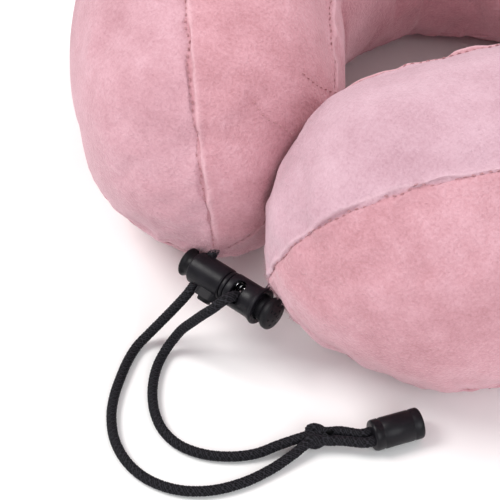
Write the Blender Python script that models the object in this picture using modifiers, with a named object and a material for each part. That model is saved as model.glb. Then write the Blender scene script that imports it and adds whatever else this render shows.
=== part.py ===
"""A u shaped neck pillow: foam core, liner, zipped velour cover and a double cord lock.

Metres, +Z up. The pillow lies flat on z = 0 with its opening at the front, -Y.
The origin is under the middle of the pillow's own box.
"""

from math import cos, pi, radians, sin, sqrt, tau

import bmesh
import bpy
import numpy as np
from mathutils import Matrix, Vector

MM = 0.001

# Pillow: the right half's spine from the tip round to the middle of the back,
# as x, y, height of the section's middle, half width and half height, in mm
SPINE = [
    (13.0, -125.2, 33.5, 42, 46),
    (26, -110.7, 42.0, 44, 52),
    (44, -92.2, 51.0, 47, 57),
    (66, -69.2, 57.0, 49, 60),
    (85, -37.2, 58.0, 50, 60),
    (90, 7.8, 58.0, 50, 60),
    (76, 53.8, 56.0, 49, 58),
    (42, 82.8, 52.0, 47, 55),
    (0, 92.8, 50.0, 46, 53),
]
DOME = 0.054                 # length over which an arm rounds off to its tip
FIRST_RING = radians(6.5)    # the tip's cord opening, as an angle of the dome
FRONT = 0.150                # the stretch of each arm that can press on the other
ARMS_APART = 0.0006          # half the gap left between the arms where they press
DOME_RINGS = 8
ARM_RINGS = 13
ROUNDNESS = 2.35             # superellipse exponent of the section
COVER = 0.0012               # velour thickness
LINER = 0.0006
SKIN_GAP = 0.0008
JOIN_GAP = 0.0008

# The cover's seams, as angles round the section: 0 is the outer side, 90 the top.
# The left arm's seams are rolled inwards by TWIST.
SEAM_OUTER = 58
SEAM_NECK = 132
SEAM_NECK_BASE = 212
SEAM_OUTER_BASE = 318
TWIST = 24
PANELS = [
    ("cover_outer_panel", SEAM_OUTER_BASE - 360, SEAM_OUTER, 6),
    ("cover_top_panel", SEAM_OUTER, SEAM_NECK, 5),
    ("cover_neck_panel", SEAM_NECK, SEAM_NECK_BASE, 4),
    ("cover_base_panel", SEAM_NECK_BASE, SEAM_OUTER_BASE, 6),
]

# Zip, along X across the base at the back
ZIP_Y = 0.0848
ZIP_LENGTH = 0.090
ZIP_WINDOW = 0.012
ZIP_PITCH = 0.004
SLIDER_LENGTH = 0.008
ZIP_END_ROOM = 0.0005
SLIDER_HALF_WIDTH = 0.0028
PULL_LENGTH = 0.012
PULL_HALF_WIDTH = 0.0016

# Cord lock: both halves lie along X through this point
LOCK = Vector((0.0, -0.1342, 0.030))
ACROSS = Vector((0.0, -0.8, -0.6))     # forward and down
FACING = Vector((0.0, -0.6, 0.8))      # forward and up
BODY_R = 0.006
BORE_R = 0.0048
PLUNGER_R = 0.0045
CORD_D = 0.0035
CORD_CLEARANCE = 0.0003
LEFT_HOLE_X = -0.0125
RIGHT_HOLE_X = 0.0058
RIGHT_TRAVEL = 0.0014
LEFT_WIRE_R = 0.0003
RIGHT_WIRE_R = 0.00035
THROUGH = 0.008                        # half length of a cutter that goes right through

# Cord routes in mm from the lock's middle, with heights above the surface
LEFT_ROUTE = [
    (-15.9, 12.6, 35.6), (-14.4, 10.4, 34.9), (-13.0, 7.9, 34.6), (-12.5, 5.2, 33.7),
    (-12.5, 2.6, 31.95), (-12.5, 0.0, 30.0), (-12.5, -5.0, 26.25), (-13.3, -8.2, 23.2),
    (-16.2, -11.6, 17.2), (-19.8, -14.6, 10.4), (-22.8, -18.4, 4.6), (-23.6, -24.0, 2.1), (-21.6, -31.0, 1.9),
    (-18.2, -38.6, 1.9), (-14.0, -46.4, 1.9), (-8.4, -53.8, 1.9), (-0.6, -60.4, 1.9),
    (9.0, -64.6, 1.9), (19.4, -65.4, 1.9), (29.8, -62.2, 1.9), (38.4, -55.4, 1.9),
    (44.6, -46.0, 1.9), (48.4, -35.6, 2.0), (50.6, -26.6, 3.0),
]
RIGHT_ROUTE = [
    (15.9, 12.6, 35.6), (14.3, 10.6, 34.4), (12.6, 9.0, 32.4), (11.3, 8.7, 29.4),
    (9.8, 8.4, 26.2), (7.8, 7.0, 23.2), (6.2, 4.5, 22.3), (5.8, 1.9, 24.8),
    (5.8, -1.3, 29.05), (5.8, -4.3, 33.0), (4.6, -8.5, 33.3), (2.0, -11.4, 29.8),
    (-1.4, -12.8, 25.4), (-5.6, -13.6, 19.4), (-10.2, -14.4, 12.6), (-13.4, -16.0, 6.0),
    (-14.2, -19.4, 2.4), (-12.2, -25.4, 1.9), (-8.8, -31.4, 1.9), (-4.0, -37.4, 1.9),
    (2.2, -42.8, 1.9), (9.6, -46.6, 1.9), (18.0, -47.6, 1.9), (26.6, -45.2, 1.9),
    (34.2, -40.2, 1.9), (40.2, -33.6, 2.0), (44.6, -25.8, 3.0),
]
KNOT = Vector((53.0, -15.5, 4.4))
BARREL_FACE = Vector((67.4, -4.6, 5.6))
BARREL_DIR = Vector((0.51, 0.86, 0.0)).normalized()
ANCHOR_R = 0.0030
BARREL_R = 0.0055
BARREL_LENGTH = 0.018

collection = None
hidden = None


# ---------------------------------------------------------------- helpers

def clear_scene():
    global collection, hidden
    for obj in list(bpy.data.objects):
        bpy.data.objects.remove(obj)
    collection = bpy.data.collections.new("neck_pillow")
    hidden = bpy.data.collections.new("cutters")
    for group in (collection, hidden):
        bpy.context.scene.collection.children.link(group)


def finish(name, colour, rough, metal=0.0):
    mat = bpy.data.materials.new(name)
    mat.use_nodes = True
    shader = mat.node_tree.nodes["Principled BSDF"]
    shader.inputs["Base Color"].default_value = (*colour, 1.0)
    shader.inputs["Roughness"].default_value = rough
    shader.inputs["Metallic"].default_value = metal
    mat.diffuse_color = (*colour, 1.0)
    return mat


def link(name, mesh, mat=None):
    obj = bpy.data.objects.new(name, mesh)
    (collection if mat else hidden).objects.link(obj)
    if mat:
        mesh.materials.append(mat)
        mesh.shade_smooth()
        mesh.set_sharp_from_angle(angle=radians(35))
    else:
        obj.hide_render = True
        obj.display_type = "WIRE"
    return obj


def mesh_from(bm, name, closed=True):
    mesh = bpy.data.meshes.new(name)
    bm.normal_update()
    if closed:
        bmesh.ops.recalc_face_normals(bm, faces=bm.faces)
    bm.to_mesh(mesh)
    bm.free()
    return mesh


def box(name, low, high, mat=None):
    bm = bmesh.new()
    low, high = Vector(low), Vector(high)
    size = high - low
    place = Matrix.Translation((low + high) / 2) @ Matrix.Diagonal((*size, 1.0))
    bmesh.ops.create_cube(bm, size=1.0, matrix=place)
    return link(name, mesh_from(bm, name), mat)


def rod(name, start, end, radius, sides=24, mat=None):
    bm = bmesh.new()
    start, end = Vector(start), Vector(end)
    turn = (end - start).to_track_quat("Z", "Y").to_matrix().to_4x4()
    place = Matrix.Translation((start + end) / 2) @ turn
    bmesh.ops.create_cone(bm, cap_ends=True, segments=sides, radius1=radius,
                          radius2=radius, depth=(end - start).length, matrix=place)
    return link(name, mesh_from(bm, name), mat)


def ball(name, centre, radii, mat=None, turn=0.0):
    bm = bmesh.new()
    place = (Matrix.Translation(centre) @ Matrix.Rotation(turn, 4, "Z")
             @ Matrix.Diagonal((*radii, 1.0)))
    bmesh.ops.create_uvsphere(bm, u_segments=12, v_segments=8, radius=1.0, matrix=place)
    return link(name, mesh_from(bm, name), mat)


def turned(name, profile, mat, steps=24):
    """A solid of revolution about the lock's axis from (x, radius) points, in metres.

    The Screw turns about Z, so the object is laid over to bring Z onto X.
    """
    bm = bmesh.new()
    verts = [bm.verts.new((r, 0.0, x)) for x, r in profile]
    for first, second in zip(verts, verts[1:]):
        bm.edges.new((first, second))
    mesh = bpy.data.meshes.new(name)
    bm.to_mesh(mesh)
    bm.free()
    obj = bpy.data.objects.new(name, mesh)
    collection.objects.link(obj)
    mesh.materials.append(mat)
    screw = obj.modifiers.new("turn", "SCREW")
    screw.axis = "Z"
    screw.steps = screw.render_steps = steps
    screw.use_merge_vertices = True
    screw.merge_threshold = 0.00001
    screw.use_normal_calculate = True
    obj.rotation_euler = (0.0, pi / 2, 0.0)
    obj.location = LOCK
    return obj


def cut(obj, *cutters):
    for cutter in cutters:
        boolean = obj.modifiers.new(cutter.name, "BOOLEAN")
        boolean.operation = "DIFFERENCE"
        boolean.solver = "EXACT"
        boolean.object = cutter


def smooth_route(points, step):
    """Points every step along a Catmull-Rom curve through the given ones."""
    knots = [np.array(p, float) for p in points]
    knots = [2 * knots[0] - knots[1]] + knots + [2 * knots[-1] - knots[-2]]
    fine = []
    for p0, p1, p2, p3 in zip(knots, knots[1:], knots[2:], knots[3:]):
        for t in np.linspace(0, 1, 24, endpoint=False):
            fine.append(0.5 * (2 * p1 + (p2 - p0) * t + (2 * p0 - 5 * p1 + 4 * p2 - p3) * t**2
                               + (3 * p1 - p0 - 3 * p2 + p3) * t**3))
    fine.append(knots[-2])
    fine = np.array(fine)
    run = np.concatenate([[0], np.cumsum(np.linalg.norm(np.diff(fine, axis=0), axis=1))])
    count = max(2, int(round(run[-1] / step)))
    at = np.linspace(0, run[-1], count + 1)
    return np.stack([np.interp(at, run, fine[:, k]) for k in range(fine.shape[1])], axis=1)


def tube(name, points, radius, mat, resolution=2):
    """A wire or cord: a poly curve with a round bevel and filled caps."""
    curve = bpy.data.curves.new(name, "CURVE")
    curve.dimensions = "3D"
    curve.bevel_depth = radius
    curve.bevel_resolution = resolution
    curve.use_fill_caps = True
    spline = curve.splines.new("POLY")
    spline.points.add(len(points) - 1)
    for slot, point in zip(spline.points, points):
        slot.co = (*point, 1.0)
    obj = bpy.data.objects.new(name, curve)
    collection.objects.link(obj)
    curve.materials.append(mat)
    return obj


# ---------------------------------------------------------------- pillow

def spine_samples():
    """Dense x, y, z, half width, half height along the spine, and the distance from the tip.

    The back end is mirrored for the curve, so the spine crosses x = 0 squarely.
    """
    back = SPINE[-2]
    points = SPINE + [(-back[0], *back[1:])]
    fine = smooth_route(points, 1.0) * MM
    run = np.concatenate([[0], np.cumsum(np.linalg.norm(np.diff(fine[:, :3], axis=0), axis=1))])
    past_middle = np.where(fine[:, 0] <= 0)[0][0]
    share = fine[past_middle - 1, 0] / (fine[past_middle - 1, 0] - fine[past_middle, 0])
    end = run[past_middle - 1] + share * (run[past_middle] - run[past_middle - 1])
    return fine, run, end


FINE, RUN, SPINE_LENGTH = spine_samples()


def spine_at(distance):
    return np.array([np.interp(distance, RUN, FINE[:, k]) for k in range(5)])


def surface(distance, angle, swell):
    """A point of the cover's outside; swell is the dome's share of the full section."""
    x, y, z, wide, high = spine_at(distance)
    ahead = spine_at(min(distance + 0.004, SPINE_LENGTH + 0.004))[:3]
    behind = spine_at(max(distance - 0.004, 0.0))[:3]
    along = ahead - behind
    along /= np.linalg.norm(along)
    side = np.cross(along, (0.0, 0.0, 1.0))
    side /= np.linalg.norm(side)
    up = np.cross(side, along)
    power = 2 / ROUNDNESS
    c, s = cos(angle), sin(angle)
    out = np.sign(c) * abs(c) ** power * wide * swell
    rise = np.sign(s) * abs(s) ** power * high * swell
    point = np.array([x, y, z]) + side * out + up * rise
    if distance > SPINE_LENGTH - 1e-6:
        point[0] = 0.0
    point[2] = max(point[2], 0.0)
    return point


def stations(first=0):
    """The loft's rings from the right tip round the back to the left tip.

    Each is a side, a distance from that side's tip, and the dome's share of the section.
    """
    half = []
    for k in range(first, DOME_RINGS):
        turn = FIRST_RING + (pi / 2 - FIRST_RING) * k / DOME_RINGS
        half.append((DOME * (1 - cos(turn)), sin(turn)))
    for k in range(ARM_RINGS):
        half.append((DOME + (SPINE_LENGTH - DOME) * k / ARM_RINGS, 1.0))
    middle = [(1, SPINE_LENGTH, 1.0)]
    return [(1, *ring) for ring in half] + middle + [(-1, *ring) for ring in reversed(half)]


def normal_at(distance, swell, angle, turn_step=0.01):
    """The outward normal, from differences along and round the loft."""
    if swell < 1.0:
        turn = np.arcsin(swell)
        near = surface(DOME * (1 - cos(turn - turn_step)), angle, sin(turn - turn_step))
        far = surface(DOME * (1 - cos(turn + turn_step)), angle, sin(turn + turn_step))
    else:
        near = surface(distance - 0.001, angle, 1.0)
        far = surface(min(distance + 0.001, SPINE_LENGTH - 2e-6), angle, 1.0)
    before = surface(distance, angle - 0.02, swell)
    after = surface(distance, angle + 0.02, swell)
    normal = np.cross(far - near, after - before)
    normal /= np.linalg.norm(normal)
    if distance > SPINE_LENGTH - 1e-6:
        normal[0] = 0.0
        normal /= np.linalg.norm(normal)
    return normal


def loft_point(side, distance, swell, angle, inset):
    """A point of a layer inset from the outside; the left arm's seams roll inwards."""
    if side < 0:
        angle += radians(TWIST) * min(1.0, (SPINE_LENGTH - distance) / 0.12)
    point = surface(distance, angle, swell) - normal_at(distance, swell, angle) * inset
    if distance < FRONT:
        point[0] = max(point[0], inset + ARMS_APART)
    point[0] *= side
    point[2] = max(point[2], inset)
    return point


def loft(name, inset, mat, start=0, end=360, columns=20, gap=0.0, first=0):
    """A strip of a layer between two angles, or a whole closed layer of all the panels."""
    bm = bmesh.new()
    rows = []
    whole = gap == 0.0
    for side, distance, swell in stations(first):
        wide, high = spine_at(distance)[3:]
        shift = gap / 2 / (sqrt(wide * high) * swell)
        angles = []
        for _, low, top, count in PANELS if whole else [(name, start, end, columns)]:
            low, top = radians(low) + shift, radians(top) - shift
            angles += [low + (top - low) * k / count for k in range(count + (not whole))]
        rows.append([bm.verts.new(loft_point(side, distance, swell, a, inset)) for a in angles])
    for near, far in zip(rows, rows[1:]):
        for k in range(len(near) - (not whole)):
            after = (k + 1) % len(near)
            bm.faces.new((near[k], far[k], far[after], near[after]))
    if whole:
        bm.faces.new(rows[0])
        bm.faces.new(rows[-1])
    return link(name, mesh_from(bm, name, closed=whole), mat)


def thicken(obj, thickness):
    solid = obj.modifiers.new("thickness", "SOLIDIFY")
    solid.thickness = thickness
    solid.offset = -1.0


def make_pillow():
    foam = finish("foam", (0.93, 0.89, 0.78), 0.9)
    cotton = finish("liner_cotton", (0.90, 0.90, 0.90), 0.9)
    made = {}
    for name, start, end, columns in PANELS:
        velour = finish(name, (0.78, 0.43, 0.47), 0.95)
        made[name] = loft(name, 0.0, velour, start, end, columns, JOIN_GAP)
        thicken(made[name], COVER)

    liner = loft("inner_liner", COVER + SKIN_GAP, cotton, first=3)
    thicken(liner, LINER)
    core = loft("foam_core", COVER + SKIN_GAP + LINER + SKIN_GAP, foam, first=4)

    half = ZIP_LENGTH / 2 + PULL_LENGTH + ZIP_END_ROOM
    wide = ZIP_WINDOW / 2
    cuts = [(made["cover_base_panel"], 0.0, 0.0040), (liner, 0.002, 0.0080),
            (core, 0.003, 0.0070)]
    for layer, room, top in cuts:
        low = (-half - room, ZIP_Y - wide - room, -0.002)
        high = (half + room, ZIP_Y + wide + room, top)
        cut(layer, box(f"zip_room_{layer.name}", low, high))


# ---------------------------------------------------------------- zip

def comb(name, side, mat):
    """One row of zip teeth: a bead with teeth towards the middle, as one flat outline."""
    edge, bead, tip = 0.0021, 0.0016, 0.0007
    half = ZIP_LENGTH / 2
    outline = [(-half, edge), (-half, bead)]
    x = -half + ZIP_PITCH / 4 + (ZIP_PITCH / 2 if side < 0 else 0.0)
    while x + ZIP_PITCH / 2 < half:
        outline += [(x, bead), (x, tip), (x + ZIP_PITCH / 2, tip), (x + ZIP_PITCH / 2, bead)]
        x += ZIP_PITCH
    outline += [(half, bead), (half, edge)]
    bm = bmesh.new()
    face = bm.faces.new([bm.verts.new((px, ZIP_Y + side * py, 0.0007)) for px, py in outline])
    lifted = bmesh.ops.extrude_face_region(bm, geom=[face])
    top = [item for item in lifted["geom"] if isinstance(item, bmesh.types.BMVert)]
    bmesh.ops.translate(bm, verts=top, vec=(0.0, 0.0, 0.0012))
    return link(name, mesh_from(bm, name), mat)


def make_zip():
    tape = finish("zip_tape", (0.72, 0.40, 0.44), 0.85)
    nylon = finish("zip_nylon", (0.70, 0.42, 0.45), 0.5)
    metal = finish("zip_metal", (0.62, 0.62, 0.64), 0.35, 0.9)
    half = ZIP_LENGTH / 2
    for name, side in (("front", -1), ("back", 1)):
        near, far = sorted((ZIP_Y + side * 0.0024, ZIP_Y + side * 0.0057))
        box(f"zip_tape_{name}", (-half, near, 0.0010), (half, far, 0.0015), tape)
        comb(f"zip_teeth_{name}", side, nylon)
    for name, side in (("left", -1), ("right", 1)):
        near, far = sorted((side * (half + 0.0003), side * (half + 0.0017)))
        box(f"zip_stop_{name}", (near, ZIP_Y - 0.0022, 0.0007), (far, ZIP_Y + 0.0022, 0.0020),
            metal)

    low = half - ZIP_END_ROOM - SLIDER_LENGTH
    top = low + SLIDER_LENGTH
    front, back = ZIP_Y - SLIDER_HALF_WIDTH, ZIP_Y + SLIDER_HALF_WIDTH
    slider = box("zip_slider", (low, front, 0.0022), (top, back, 0.0028), metal)
    foot = box("slider_foot", (low, front, 0.00015), (top, back, 0.0005))
    post = box("slider_post", (low + 0.003, ZIP_Y - 0.0004, 0.0004),
               (low + 0.005, ZIP_Y + 0.0004, 0.0023))
    for piece in (post, foot):
        union = slider.modifiers.new(piece.name, "BOOLEAN")
        union.operation = "UNION"
        union.solver = "EXACT"
        union.object = piece
    return low


def make_pull(slider_end):
    """The pull tab lies flat beside the slider, with its hinge at the slider's end."""
    metal = finish("pull_metal", (0.60, 0.60, 0.62), 0.35, 0.9)
    hinge = Vector((slider_end - 0.0003, ZIP_Y, 0.00035))
    tab = box("zip_pull", (hinge.x - PULL_LENGTH, ZIP_Y - PULL_HALF_WIDTH, 0.00012),
              (hinge.x, ZIP_Y + PULL_HALF_WIDTH, 0.00055), metal)
    tab.data.transform(Matrix.Translation(-hinge))
    tab.location = hinge


# ---------------------------------------------------------------- cord lock

def on_lock(x, across=0.0, facing=0.0):
    return LOCK + Vector((x, 0.0, 0.0)) + ACROSS * across + FACING * facing


def slot_box(name, x_low, x_high, across, facing, bevel=0.0):
    """A box square to the lock's cross directions, for a slot, window or button."""
    bm = bmesh.new()
    size = (x_high - x_low, across[1] - across[0], facing[1] - facing[0])
    middle = on_lock((x_low + x_high) / 2, sum(across) / 2, sum(facing) / 2)
    turn = Matrix((Vector((1, 0, 0)), ACROSS, FACING)).transposed().to_4x4()
    bmesh.ops.create_cube(bm, size=1.0, matrix=Matrix.Diagonal((*size, 1.0)))
    if bevel:
        uprights = [e for e in bm.edges
                    if abs((e.verts[0].co - e.verts[1].co).normalized().y) > 0.99]
        bmesh.ops.bevel(bm, geom=uprights, offset=bevel, segments=4, affect="EDGES",
                        profile=0.5)
    bm.transform(Matrix.Translation(middle) @ turn)
    return link(name, mesh_from(bm, name))


def make_lock():
    shell = finish("lock_shell", (0.020, 0.021, 0.024), 0.38)
    inner = finish("plunger_plastic", (0.024, 0.025, 0.028), 0.42)
    steel = finish("spring_steel", (0.72, 0.72, 0.74), 0.25, 1.0)

    body_l = turned("lock_body_left", [
        (-0.0010, 0.0), (-0.0010, 0.0054), (-0.0015, BODY_R), (-0.0148, BODY_R),
        (-0.0155, 0.0056), (-0.0155, BORE_R), (-0.0024, BORE_R), (-0.0024, 0.0),
    ], shell)
    cut(body_l,
        rod("left_cord_hole", on_lock(LEFT_HOLE_X, -0.010), on_lock(LEFT_HOLE_X, 0.010),
            0.00215),
        slot_box("button_window", -0.0090, -0.0032, (0.0040, 0.0075), (-0.0025, 0.0025),
                 0.0016))

    body_r = turned("lock_body_right", [
        (0.0146, BORE_R), (0.0146, 0.0066), (0.0140, 0.00675), (0.0126, 0.0064),
        (0.0112, BODY_R), (0.0014, BODY_R), (0.0009, 0.0054), (0.0009, 0.0),
        (0.0016, 0.0), (0.0016, BORE_R), (0.0146, BORE_R),
    ], shell)
    cut(body_r, slot_box("right_slot", RIGHT_HOLE_X - 0.0024, RIGHT_HOLE_X + 0.0024,
                         (-0.0042, 0.0040), (-THROUGH, THROUGH), 0.0012))

    turned("coupling_ring", [
        (0.0006, 0.0), (0.0006, 0.0050), (0.0003, 0.00545), (-0.0004, 0.00545),
        (-0.0007, 0.0050), (-0.0007, 0.0),
    ], shell)

    plunger_l = turned("plunger_left", [
        (-0.0092, 0.0), (-0.0092, PLUNGER_R), (-0.0172, PLUNGER_R), (-0.0180, 0.0047),
        (-0.0186, 0.0054), (-0.0192, 0.00545), (-0.0198, 0.0049), (-0.0201, 0.0),
    ], inner)
    cut(plunger_l, slot_box("left_plunger_slot", -0.0166, -0.0104, (-THROUGH, THROUGH),
                            (-0.0021, 0.0021), 0.0015))

    plunger_r = turned("plunger_right", [
        (0.0209, 0.0), (0.0206, 0.0040), (0.0199, 0.00545), (0.0190, 0.00565),
        (0.0180, 0.0054), (0.0174, 0.0046), (0.0168, PLUNGER_R), (0.0033, PLUNGER_R),
        (0.0033, 0.0),
    ], inner)
    left = RIGHT_HOLE_X - CORD_D / 2 - CORD_CLEARANCE
    right = RIGHT_HOLE_X + CORD_D / 2 + CORD_CLEARANCE + RIGHT_TRAVEL
    cut(plunger_r,
        slot_box("right_plunger_slot", left, right, (-0.0004, 0.0037), (-THROUGH, THROUGH)),
        slot_box("spring_room", 0.0020, 0.0100, (-THROUGH, 0.0), (-THROUGH, THROUGH)))

    spring("spring_left", -0.0089, -0.0027, 0.0, 0.0030, 5, LEFT_WIRE_R, steel)
    spring("spring_right", 0.0019, 0.0097, -0.0021, 0.0015, 4, RIGHT_WIRE_R, steel)

    button = slot_box("button_stem", -0.0087, -0.0035, (0.0054, 0.0092), (-0.0022, 0.0022),
                      0.0014)
    button.name = "latch_button"
    hidden.objects.unlink(button)
    collection.objects.link(button)
    button.hide_render = False
    button.display_type = "TEXTURED"
    button.data.materials.append(shell)


def spring(name, x_low, x_high, across, radius, turns, wire, mat):
    """A coil spring with its ends inside x_low and x_high, its axis along X."""
    steps = turns * 12
    length = x_high - x_low - 2 * wire
    points = []
    for k in range(steps + 1):
        turn = tau * turns * k / steps
        points.append(on_lock(x_low + wire + length * k / steps,
                              across + radius * cos(turn), radius * sin(turn)))
    tube(name, points, wire, mat, resolution=0)


# ---------------------------------------------------------------- cords

def from_lock(point):
    return np.array((LOCK.x + point[0] * MM, LOCK.y + point[1] * MM, point[2] * MM))


def square_to(direction):
    """Half the spacing of the two tail cords, square to their direction, in mm."""
    return Vector((-direction.y, direction.x, 0.0)) * 2.0


def make_cords():
    black = finish("cord_black", (0.022, 0.022, 0.026), 0.75)
    plastic = finish("barrel_plastic", (0.020, 0.021, 0.024), 0.4)
    for name, route, step in (("cord_left", LEFT_ROUTE, 6.5), ("cord_right", RIGHT_ROUTE, 5.0)):
        tube(name, [from_lock(p) for p in smooth_route(route, step)], CORD_D / 2, black)
    ball("tail_knot", from_lock(KNOT), (0.0068, 0.0052, 0.0043), black, radians(40))
    for name, route in (("left", LEFT_ROUTE), ("right", RIGHT_ROUTE)):
        ball(f"anchor_knot_{name}", from_lock(Vector(route[0]) + Vector(
            (2.2 if name == "right" else -2.2, 2.8, 1.5))), (ANCHOR_R,) * 3, black)
    towards = (BARREL_FACE - KNOT).normalized()
    for name, side in (("left", -1), ("right", 1)):
        start = KNOT + towards * 7.4 + square_to(towards) * side
        end = BARREL_FACE - BARREL_DIR * 0.5 + square_to(BARREL_DIR) * side
        points = smooth_route([start, start + towards * 2, end - BARREL_DIR * 3, end], 2.0)
        tube(f"tail_cord_{name}", [from_lock(p) for p in points], CORD_D / 2, black)
    make_barrel(plastic)


def make_barrel(plastic):
    """The cord end: a hollow barrel open at the back, and the plug pressed into it."""
    face = Vector(from_lock(BARREL_FACE))
    end = face + BARREL_DIR * BARREL_LENGTH
    barrel = rod("cord_end_barrel", face, end, BARREL_R, 32, plastic)
    rim = barrel.modifiers.new("rim", "BEVEL")
    rim.width = 0.0008
    rim.segments = 2
    rim.limit_method = "ANGLE"
    rim.angle_limit = radians(60)
    cut(barrel, rod("barrel_bore", face + BARREL_DIR * 0.0030, end + BARREL_DIR * 0.001,
                    0.0040))
    rod("barrel_plug", face + BARREL_DIR * 0.0060, end - BARREL_DIR * 0.0002, 0.0037, 24,
        plastic)


clear_scene()
make_pillow()
slider_low = make_zip()
make_pull(slider_low)
make_lock()
make_cords()
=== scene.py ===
"""The looks of the neck pillow: velour cover, seams and stitching, cord lock and braided cords."""

from math import cos, pi, radians, sin, sqrt, tau

import bmesh
import bpy
import numpy as np
from mathutils import Matrix, Vector


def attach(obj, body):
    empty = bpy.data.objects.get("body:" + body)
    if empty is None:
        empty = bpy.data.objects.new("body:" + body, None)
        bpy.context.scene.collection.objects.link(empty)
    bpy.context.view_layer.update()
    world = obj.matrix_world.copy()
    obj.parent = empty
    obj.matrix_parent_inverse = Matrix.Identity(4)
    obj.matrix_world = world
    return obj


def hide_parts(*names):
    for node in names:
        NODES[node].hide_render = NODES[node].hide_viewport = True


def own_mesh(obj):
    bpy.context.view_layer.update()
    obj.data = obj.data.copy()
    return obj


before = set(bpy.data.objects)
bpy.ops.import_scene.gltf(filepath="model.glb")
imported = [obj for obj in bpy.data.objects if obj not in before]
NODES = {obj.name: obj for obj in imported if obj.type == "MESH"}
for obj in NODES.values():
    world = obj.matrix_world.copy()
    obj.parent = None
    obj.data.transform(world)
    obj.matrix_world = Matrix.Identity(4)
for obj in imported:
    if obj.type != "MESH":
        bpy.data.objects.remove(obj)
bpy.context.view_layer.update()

MM = 0.001
RNG = np.random.default_rng(7)

# ---- the pillow's loft, as in the CAD: x, y, height, half width, half height, in mm
SPINE = [
    (13.0, -125.2, 33.5, 42, 46),
    (26, -110.7, 42.0, 44, 52),
    (44, -92.2, 51.0, 47, 57),
    (66, -69.2, 57.0, 49, 60),
    (85, -37.2, 58.0, 50, 60),
    (90, 7.8, 58.0, 50, 60),
    (76, 53.8, 56.0, 49, 58),
    (42, 82.8, 52.0, 47, 55),
    (0, 92.8, 50.0, 46, 53),
]
DOME = 0.054
FRONT = 0.150
ROUNDNESS = 2.35
TIP_RING = radians(2.6)
SEAM_OUTER = 58
SEAM_NECK = 132
SEAM_NECK_BASE = 212
SEAM_OUTER_BASE = 318
TWIST = 24
SEAMS = (SEAM_OUTER, SEAM_NECK, SEAM_NECK_BASE, SEAM_OUTER_BASE)

# ---- cord lock
LOCK = Vector((0.0, -0.1342, 0.030))
ACROSS = Vector((0.0, -0.8, -0.6))
FACING = Vector((0.0, -0.6, 0.8))
CORD_D = 0.0035
CORD_CLEARANCE = 0.0003
LEFT_HOLE_X = -0.0125
RIGHT_HOLE_X = 0.0058
RIGHT_TRAVEL = 0.0014
RIGHT_SPRING_ACROSS = -0.0021    # the right spring lies beside the cord, off the axis
THROUGH = (-0.008, 0.008)    # a cutter's span, right through a plunger

# ---- cord routes, as in the CAD: mm from the lock's middle, heights above the floor
LEFT_ROUTE = [
    (-15.9, 12.6, 35.6), (-14.4, 10.4, 34.9), (-13.0, 7.9, 34.6), (-12.5, 5.2, 33.7),
    (-12.5, 2.6, 31.95), (-12.5, 0.0, 30.0), (-12.5, -5.0, 26.25), (-13.3, -8.2, 23.2),
    (-16.2, -11.6, 17.2), (-19.8, -14.6, 10.4), (-22.8, -18.4, 4.6), (-23.6, -24.0, 2.1),
    (-21.6, -31.0, 1.9), (-18.2, -38.6, 1.9), (-14.0, -46.4, 1.9), (-8.4, -53.8, 1.9),
    (-0.6, -60.4, 1.9), (9.0, -64.6, 1.9), (19.4, -65.4, 1.9), (29.8, -62.2, 1.9),
    (38.4, -55.4, 1.9), (44.6, -46.0, 1.9), (48.4, -35.6, 2.0), (50.6, -26.6, 3.0),
]
RIGHT_ROUTE = [
    (15.9, 12.6, 35.6), (14.3, 10.6, 34.4), (12.6, 9.0, 32.4), (11.3, 8.7, 29.4),
    (9.8, 8.4, 26.2), (7.8, 7.0, 23.2), (6.2, 4.5, 22.3), (5.8, 1.9, 24.8),
    (5.8, -1.3, 29.05), (5.8, -4.3, 33.0), (4.6, -8.5, 33.3), (2.0, -11.4, 29.8),
    (-1.4, -12.8, 25.4), (-5.6, -13.6, 19.4), (-10.2, -14.4, 12.6), (-13.4, -16.0, 6.0),
    (-14.2, -19.4, 2.4), (-12.2, -25.4, 1.9), (-8.8, -31.4, 1.9), (-4.0, -37.4, 1.9),
    (2.2, -42.8, 1.9), (9.6, -46.6, 1.9), (18.0, -47.6, 1.9), (26.6, -45.2, 1.9),
    (34.2, -40.2, 1.9), (40.2, -33.6, 2.0), (44.6, -25.8, 3.0),
]
KNOT = Vector((53.0, -15.5, 4.4))
BARREL_FACE = Vector((67.4, -4.6, 5.6))
BARREL_DIR = Vector((0.51, 0.86, 0.0)).normalized()
BARREL_LENGTH = 0.018


# ================================================================ helpers

def link(name, mesh, mat, smooth=True):
    obj = bpy.data.objects.new(name, mesh)
    bpy.context.scene.collection.objects.link(obj)
    mesh.materials.append(mat)
    if smooth:
        mesh.shade_smooth()
    return obj


def from_bmesh(name, bm, mat):
    mesh = bpy.data.meshes.new(name)
    bm.to_mesh(mesh)
    bm.free()
    return link(name, mesh, mat)


def from_arrays(name, verts, faces, mat, smooth=True):
    mesh = bpy.data.meshes.new(name)
    mesh.from_pydata([tuple(v) for v in verts], [], [tuple(f) for f in faces])
    mesh.update()
    return link(name, mesh, mat, smooth)


def tube_faces(rings, around, base=0):
    """The faces of a capped tube whose rings of points follow one another from base."""
    faces = []
    for k in range(rings - 1):
        for j in range(around):
            a, b = base + k * around + j, base + k * around + (j + 1) % around
            faces.append((a, b, b + around, a + around))
    last = base + (rings - 1) * around
    faces.append(tuple(base + j for j in reversed(range(around))))
    faces.append(tuple(last + j for j in range(around)))
    return faces


def mark(obj, name, values):
    """Stores a number for each point, for the material to read."""
    attribute = obj.data.attributes.new(name, "FLOAT", "POINT")
    attribute.data.foreach_set("value", np.asarray(values, float).reshape(-1))


def evaluated(obj):
    """The object with its modifiers applied; its old mesh is dropped."""
    bpy.context.view_layer.update()
    graph = bpy.context.evaluated_depsgraph_get()
    mesh = bpy.data.meshes.new_from_object(obj.evaluated_get(graph))
    obj.modifiers.clear()
    obj.data = mesh
    return obj


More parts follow.
